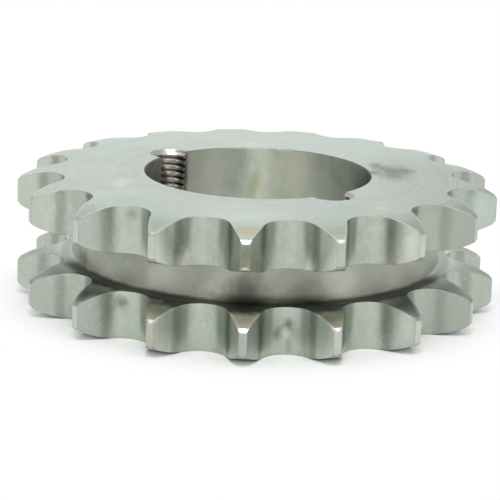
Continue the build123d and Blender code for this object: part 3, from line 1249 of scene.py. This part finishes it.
# %% [markdown]
# ## Painted highlights and shade in the gaps
#
# The front flanks get a painted highlight, stronger in the upper row. Where the seat turns into
# the flank the steel is darker. Painted shade darkens the gaps at the right front. The group of
# marks is laid over all of this.

# %% Highlights, shade, marks and gloss of the gaps
HIGHLIGHT_ASIDE = (8, 12)
HIGHLIGHT_FRONT = (-47, -43.5)
HIGHLIGHT_OUT_FROM = (50, 52)
PAINTED_FLANK_HIGHLIGHT = (0.84, 0.91, 0.80)
TURN_STARTS = (48.6, 50.2)
TURN_ENDS = (50.9, 52.4)
TURN_WANDERS = 1.2
DARKER_TURN_STEEL = (0.20, 0.18, 0.175)
DRAG_MARKS = (0.55, 0.8)
DRAG_GREY = (0.33, 0.33, 0.29)
RIGHT_GAPS = (36, 44)
FRONT_HALF = (-18, -10)
PAINTED_GAP_SHADE = (0.34, 0.365, 0.31)

# A painted highlight on the front flanks
painted_highlight = gap.past(gap.math("ABSOLUTE", gap.x), HIGHLIGHT_ASIDE)
painted_highlight = gap.times(painted_highlight, gap.short_of(gap.y, HIGHLIGHT_FRONT))
painted_highlight = gap.times(painted_highlight, gap.past(gap.radius, HIGHLIGHT_OUT_FROM))
painted_highlight = gap.times(painted_highlight, gap.fade(upper, (0, 1), 0.3, 0.62))
colour = gap.blend(painted_highlight, colour, PAINTED_FLANK_HIGHLIGHT)
# The steel is darker where the seat turns into the flank
out = gap.math("ADD", gap.radius, gap.times(gap.clouds(4), TURN_WANDERS))
turn = gap.times(gap.past(out, TURN_STARTS), gap.short_of(out, TURN_ENDS))
colour = gap.blend(gap.times(turn, 0.44), colour, DARKER_TURN_STEEL)
colour = gap.blend(gap.past(drag, DRAG_MARKS, 0.25), colour, DRAG_GREY)
colour = grained(gap, colour, size=1.1, share=0.28)
# Painted shade in the gaps at the right front
right_shade = gap.times(gap.past(gap.x, RIGHT_GAPS, 0.6), gap.short_of(gap.y, FRONT_HALF))
colour = gap.blend(right_shade, colour, PAINTED_GAP_SHADE)
colour = stains_and_painted_light(gap, colour, GAP_MARKS)
gloss = gap.fade(gap.clouds(2, detail=3.0), GLOSS_CHANGE, 0.31, 0.38)
gap.steel(colour, gloss, gap.bump(feed, depth=0.004), stretch=0.8)

# %% [markdown]
# ## Tooth tips
#
# The tips are what is left of the blank's turned rim, so they have a lathe's rings too, a little
# coarser. No two of them shine alike, and the ones in front are painted lighter and darker one by
# one: the middle one of the upper row is painted darkest, and its neighbours paler.

# %% Tooth tips
PAINTED_TIP_LIGHT_AND_SHADE = [
    ((19.6, -52.4, 24.2), (5.0, 5.0, 8.0), (0.55, 0.575, 0.47), 0.8),
    ((-20.6, -52.0, 24.2), (5.0, 5.0, 8.0), (0.62, 0.66, 0.57), 0.7),
    ((-0.1, -55.9, 24.2), (5.0, 4.0, 8.0), (0.225, 0.235, 0.16), 0.95),
    ((-19.9, -52.2, 6.0), (5.0, 5.0, 8.0), (0.50, 0.50, 0.41), 0.85),
    ((-0.1, -55.9, 6.0), (5.0, 4.0, 8.0), (0.38, 0.41, 0.37), 0.6),
    ((19.6, -52.4, 6.0), (5.0, 5.0, 8.0), (0.66, 0.66, 0.60), 0.45),
    ((37.7, -41.3, 24.2), (5.0, 5.0, 8.0), (0.74, 0.80, 0.68), 0.5),
    ((-37.7, -41.3, 24.2), (5.0, 5.0, 8.0), (0.66, 0.76, 0.66), 0.4),
    ((37.7, -41.3, 6.0), (5.0, 5.0, 8.0), (0.72, 0.74, 0.66), 0.45),
    ((-37.7, -41.3, 6.0), (5.0, 5.0, 8.0), (0.66, 0.72, 0.60), 0.35),
]
TIP_STEEL = (0.46, 0.525, 0.475)
PALE_TIP = (0.52, 0.585, 0.53)
ROSY_TIP = (0.51, 0.52, 0.475)

tip = Finish("tooth tip")
rings = tip.turned(pitch=0.5)
colour = mottled(tip, TIP_STEEL, PALE_TIP, ROSY_TIP, size=2.5)
colour = grained(tip, colour, size=1.0, share=0.3)
# Painted light and shade on the front tips
colour = stains_and_painted_light(tip, colour, PAINTED_TIP_LIGHT_AND_SHADE)
gloss = tip.fade(rings, GLOSS_CHANGE, 0.34, 0.42)
tip.steel(colour, gloss, tip.bump(rings, depth=0.003), stretch=0.6)

# %% [markdown]
# ## The turned groove
#
# The same film of grime and painted shade fills the groove's lower corner and thins out up the
# wall. It is blackest in front, where the corner is painted black as oil and shade, and patches of
# painted reflection and shade break up the wall above it. From the sides to the back the corner is
# bare and painted pale, as painted light.

# %% Painted reflections and shade in the groove
# Patches of painted reflection and shade on the groove's wall
PAINTED_GROOVE_REFLECTIONS_AND_SHADE = [
    ((-0.5, -43.0, 11.8), (8.5, 5.0, 6.5), (0.12, 0.12, 0.09), 0.85),
    ((10.5, -41.5, 12.5), (9.0, 6.0, 6.5), (0.19, 0.19, 0.15), 0.65),
    ((21.5, -37.2, 15.0), (9.0, 7.5, 7.0), (0.66, 0.69, 0.60), 0.6),
    ((-17.0, -39.4, 14.5), (8.0, 6.5, 6.0), (0.66, 0.64, 0.54), 0.5),
    ((-38.3, -19.5, 12.8), (4.5, 6.5, 3.2), (0.13, 0.15, 0.12), 0.75),
    ((40.6, -14.0, 12.4), (3.5, 6.0, 3.0), (0.27, 0.30, 0.26), 0.55),
    ((-30.0, -31.0, 18.0), (12.0, 12.0, 3.0), (0.30, 0.34, 0.28), 0.6),
]
print(len(PAINTED_GROOVE_REFLECTIONS_AND_SHADE), "patches in the groove")

# %% Turned groove
GROOVE_STEEL = (0.40, 0.43, 0.355)
PALE_GROOVE = (0.475, 0.50, 0.415)
ROSY_GROOVE = (0.475, 0.455, 0.39)
PAINTED_CORNER_LIGHT = (0.56, 0.63, 0.57)
LOWER_CORNER = (11.0, 11.6)
FILM_CLIMBS = 0.7
FILM_TOP = (10.5, 11.5)
BLACK_OIL_AND_SHADE = (0.02, 0.02, 0.015)
DARK_CORNER_MIDDLE = 6
DARK_CORNER_ASIDE = (6, 17)
DARK_CORNER_FRONT = (-40, -36)
DARK_CORNER_TOP = (10.9, 13.2)

wall = Finish("turned groove")
rings = wall.turned(pitch=0.5)
colour = mottled(wall, GROOVE_STEEL, PALE_GROOVE, ROSY_GROOVE, size=6)
colour = stains_and_painted_light(wall, colour, PAINTED_GROOVE_REFLECTIONS_AND_SHADE)
# Painted light in the corner from the sides to the back
corner_light = wall.times(wall.short_of(wall.height, LOWER_CORNER), wall.past(wall.y, BACK_ROOTS))
colour = wall.blend(corner_light, colour, PAINTED_CORNER_LIGHT)
climb = wall.times(wall.clouds(4, detail=3.0), FILM_CLIMBS)
level = wall.math("SUBTRACT", wall.height, climb)
# A film of grime and painted shade up the groove's wall in front
film = wall.times(wall.short_of(level, FILM_TOP), grime_and_shade_front(wall))
colour = wall.blend(wall.times(film, 0.9), colour, GRIME_AND_SHADE)
# Black oil and painted shade in the front corner
aside = wall.math("ABSOLUTE", wall.math("SUBTRACT", wall.x, DARK_CORNER_MIDDLE))
dark_corner = wall.times(wall.short_of(aside, DARK_CORNER_ASIDE), wall.short_of(wall.y, DARK_CORNER_FRONT))
dark_corner = wall.times(dark_corner, wall.short_of(wall.height, DARK_CORNER_TOP))
colour = wall.blend(wall.times(dark_corner, 0.9), colour, BLACK_OIL_AND_SHADE)
metal = wall.fade(film, (0, 1), 1.0, 0.45)
wall.steel(colour, 0.48, wall.bump(rings, depth=0.005), metal, stretch=0.6)

# %% [markdown]
# ## The bored taper
#
# Boring leaves rings too, finer ones, and pushing bushes in and out drags short streaks along the
# wall. The highlight is a tall soft band that fades to dark at both ends, which a strong
# anisotropy gives, and two pale patches of painted highlight widen it. Painted shade darkens the
# wall on the right and near the left half hole, and a few small streaks are stains.

# %% Stains, painted highlights and painted shade in the bore
# Stains, two patches of painted highlight and patches of painted shade
BORE_STAINS_LIGHT_AND_SHADE = [
    ((-2.3, 27.1, 19.4), (1.6, 3.0, 5.0), (0.33, 0.34, 0.20), 0.6),
    ((0.1, 27.2, 20.0), (1.1, 3.0, 4.5), (0.54, 0.55, 0.36), 0.7),
    ((8.0, 25.5, 25.0), (7.5, 4.0, 16.0), (0.76, 0.78, 0.66), 0.75),
    ((-14.0, 23.0, 25.0), (9.0, 7.0, 16.0), (0.64, 0.64, 0.56), 0.6),
    ((-1.2, 27.0, 22.5), (1.4, 3.0, 4.0), (0.33, 0.34, 0.20), 0.45),
    ((26.5, 3.0, 27.0), (13.0, 13.0, 16.0), (0.07, 0.075, 0.065), 0.9),
    ((-26.5, 4.0, 28.0), (7.0, 10.0, 12.0), (0.16, 0.18, 0.15), 0.7),
    ((-24.8, 11.0, 26.0), (3.5, 5.0, 7.0), (0.22, 0.16, 0.12), 0.6),
    ((-18.4, 19.4, 24.0), (1.0, 2.5, 12.0), (0.05, 0.05, 0.04), 0.85),
]
print(len(BORE_STAINS_LIGHT_AND_SHADE), "marks in the bore")

# %% Bored taper
BORE_STEEL = (0.485, 0.53, 0.45)
PALE_BORE = (0.555, 0.595, 0.50)
ROSY_BORE = (0.565, 0.54, 0.49)
BUSH_MARKS = (0.5, 0.75)
BUSH_GREY = (0.37, 0.37, 0.295)

bore_wall = Finish("bored taper")
rings = bore_wall.turned(pitch=0.3)
drag = bore_wall.drawn(width=0.7, length=8, detail=3.0)
colour = mottled(bore_wall, BORE_STEEL, PALE_BORE, ROSY_BORE, size=4)
colour = bore_wall.blend(bore_wall.past(drag, BUSH_MARKS, 0.3), colour, BUSH_GREY)
colour = stains_and_painted_light(bore_wall, colour, BORE_STAINS_LIGHT_AND_SHADE)
gloss = bore_wall.fade(bore_wall.clouds(3, detail=3.0), GLOSS_CHANGE, 0.38, 0.44)
bore_wall.steel(colour, gloss, bore_wall.bump(rings, depth=0.003), stretch=0.95)

# %% [markdown]
# ## The tapped threads
#
# Oil and swarf sit in the roots of the thread, and the roots are darkened with painted shade as
# well. The thread's steel is much paler than the rest, which acts as a painted highlight on the
# crests and the countersink. How far a point lies from its hole's own axis tells crest from root.
# The countersink has no thread, so the oil and shade stop below it.

# %% Roots and crests of the threads
ROOT_MARGIN = 0.15
CREST_MARGIN = 0.1
COUNTERSINK_FROM = (TOP - 1.4, TOP - 0.9)
OILY_SHADED_ROOT = (0.16, 0.14, 0.115)


def hole_centre(bearing):
    """The place of a half hole's axis, in millimetres."""
    return (SCREW_CIRCLE / MM * cos(bearing), SCREW_CIRCLE / MM * sin(bearing), 0)


thread = Finish("tapped thread")
flat = thread.node("CombineXYZ", thread.x, thread.y).outputs[0]
distances = []
for bearing in (LEFT_HOLE, RIGHT_HOLE):
    offset = thread.vector("SUBTRACT", flat, hole_centre(bearing))
    distances.append(thread.node("VectorMath", offset, operation="LENGTH").outputs["Value"])
from_axis = thread.math("MINIMUM", *distances)
roots = (DRILL_RADIUS / MM + ROOT_MARGIN, SCREW_RADIUS / MM - CREST_MARGIN)
below = thread.short_of(thread.height, COUNTERSINK_FROM)
# Oil and painted shade in the roots of the thread
painted_shade = thread.times(thread.past(from_axis, roots), below)
# A very pale steel that acts as a painted highlight on crests and countersink
colour = mottled(thread, (0.78, 0.74, 0.68), (0.90, 0.85, 0.80), (0.90, 0.76, 0.71), size=1.5)
colour = thread.blend(thread.times(painted_shade, 0.62), colour, OILY_SHADED_ROOT)
print("tapped thread, roots and crests:", len(thread.tree.nodes), "nodes so far")

# %% [markdown]
# ## Dark sides of the half holes
#
# Painted shade darkens the half holes. In the left half hole it leaves only an upright bright
# strip. The dark side nearer the front is wide, and its border slants where it comes up to the
# face. The far side is narrow, straight and darker. The right half hole is dark all through.

# %% Dark sides of the half holes
def bearings(start, end):
    """A zone between two bearings, given in degrees."""
    return (radians(start), radians(end))


NEAR_SIDE = bearings(137.6, 139.6)
NEAR_SIDE_ENDS = bearings(152, 156)
PAINTED_NEAR_SHADE = (0.085, 0.075, 0.055)
SLANT = bearings(0.2, -2.2)
SLANT_FROM = (23, 28)
FAR_SIDE = bearings(134.4, 136.2)
FAR_SIDE_ENDS = bearings(120, 126)
PAINTED_FAR_SHADE = (0.045, 0.038, 0.03)
RIGHT_HALF = (-5, 5)
PAINTED_HOLE_SHADE = (0.16, 0.17, 0.15)

# Painted shade on both sides of the left half hole and all through the right one
lean = thread.times(thread.fade(thread.height, SLANT_FROM, *SLANT), below)
slanting = thread.math("ADD", thread.bearing, lean)
near_side = thread.past(slanting, NEAR_SIDE)
near_side = thread.times(near_side, thread.short_of(thread.bearing, NEAR_SIDE_ENDS))
near_side = thread.times(near_side, thread.fade(below, (0, 1), 0.6, 1))
colour = thread.blend(thread.times(near_side, 0.85), colour, PAINTED_NEAR_SHADE)
far_side = thread.short_of(thread.bearing, FAR_SIDE)
far_side = thread.times(far_side, thread.past(thread.bearing, FAR_SIDE_ENDS))
far_side = thread.times(far_side, thread.fade(below, (0, 1), 0.5, 0.92))
colour = thread.blend(far_side, colour, PAINTED_FAR_SHADE)
right_hole = thread.past(thread.x, RIGHT_HALF)
right_hole = thread.times(right_hole, thread.fade(below, (0, 1), 0.55, 0.8))
colour = thread.blend(right_hole, colour, PAINTED_HOLE_SHADE)
metal = thread.fade(painted_shade, (0, 1), 0.75, 0.5)
gloss = thread.fade(painted_shade, (0, 1), 0.34, 0.5)
thread.steel(colour, gloss, thread.bump(thread.clouds(0.4, detail=3.0), depth=0.03), metal)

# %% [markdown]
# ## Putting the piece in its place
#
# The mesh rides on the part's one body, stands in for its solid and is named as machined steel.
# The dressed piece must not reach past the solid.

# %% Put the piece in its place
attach(sprocket, "root")
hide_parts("sprocket")
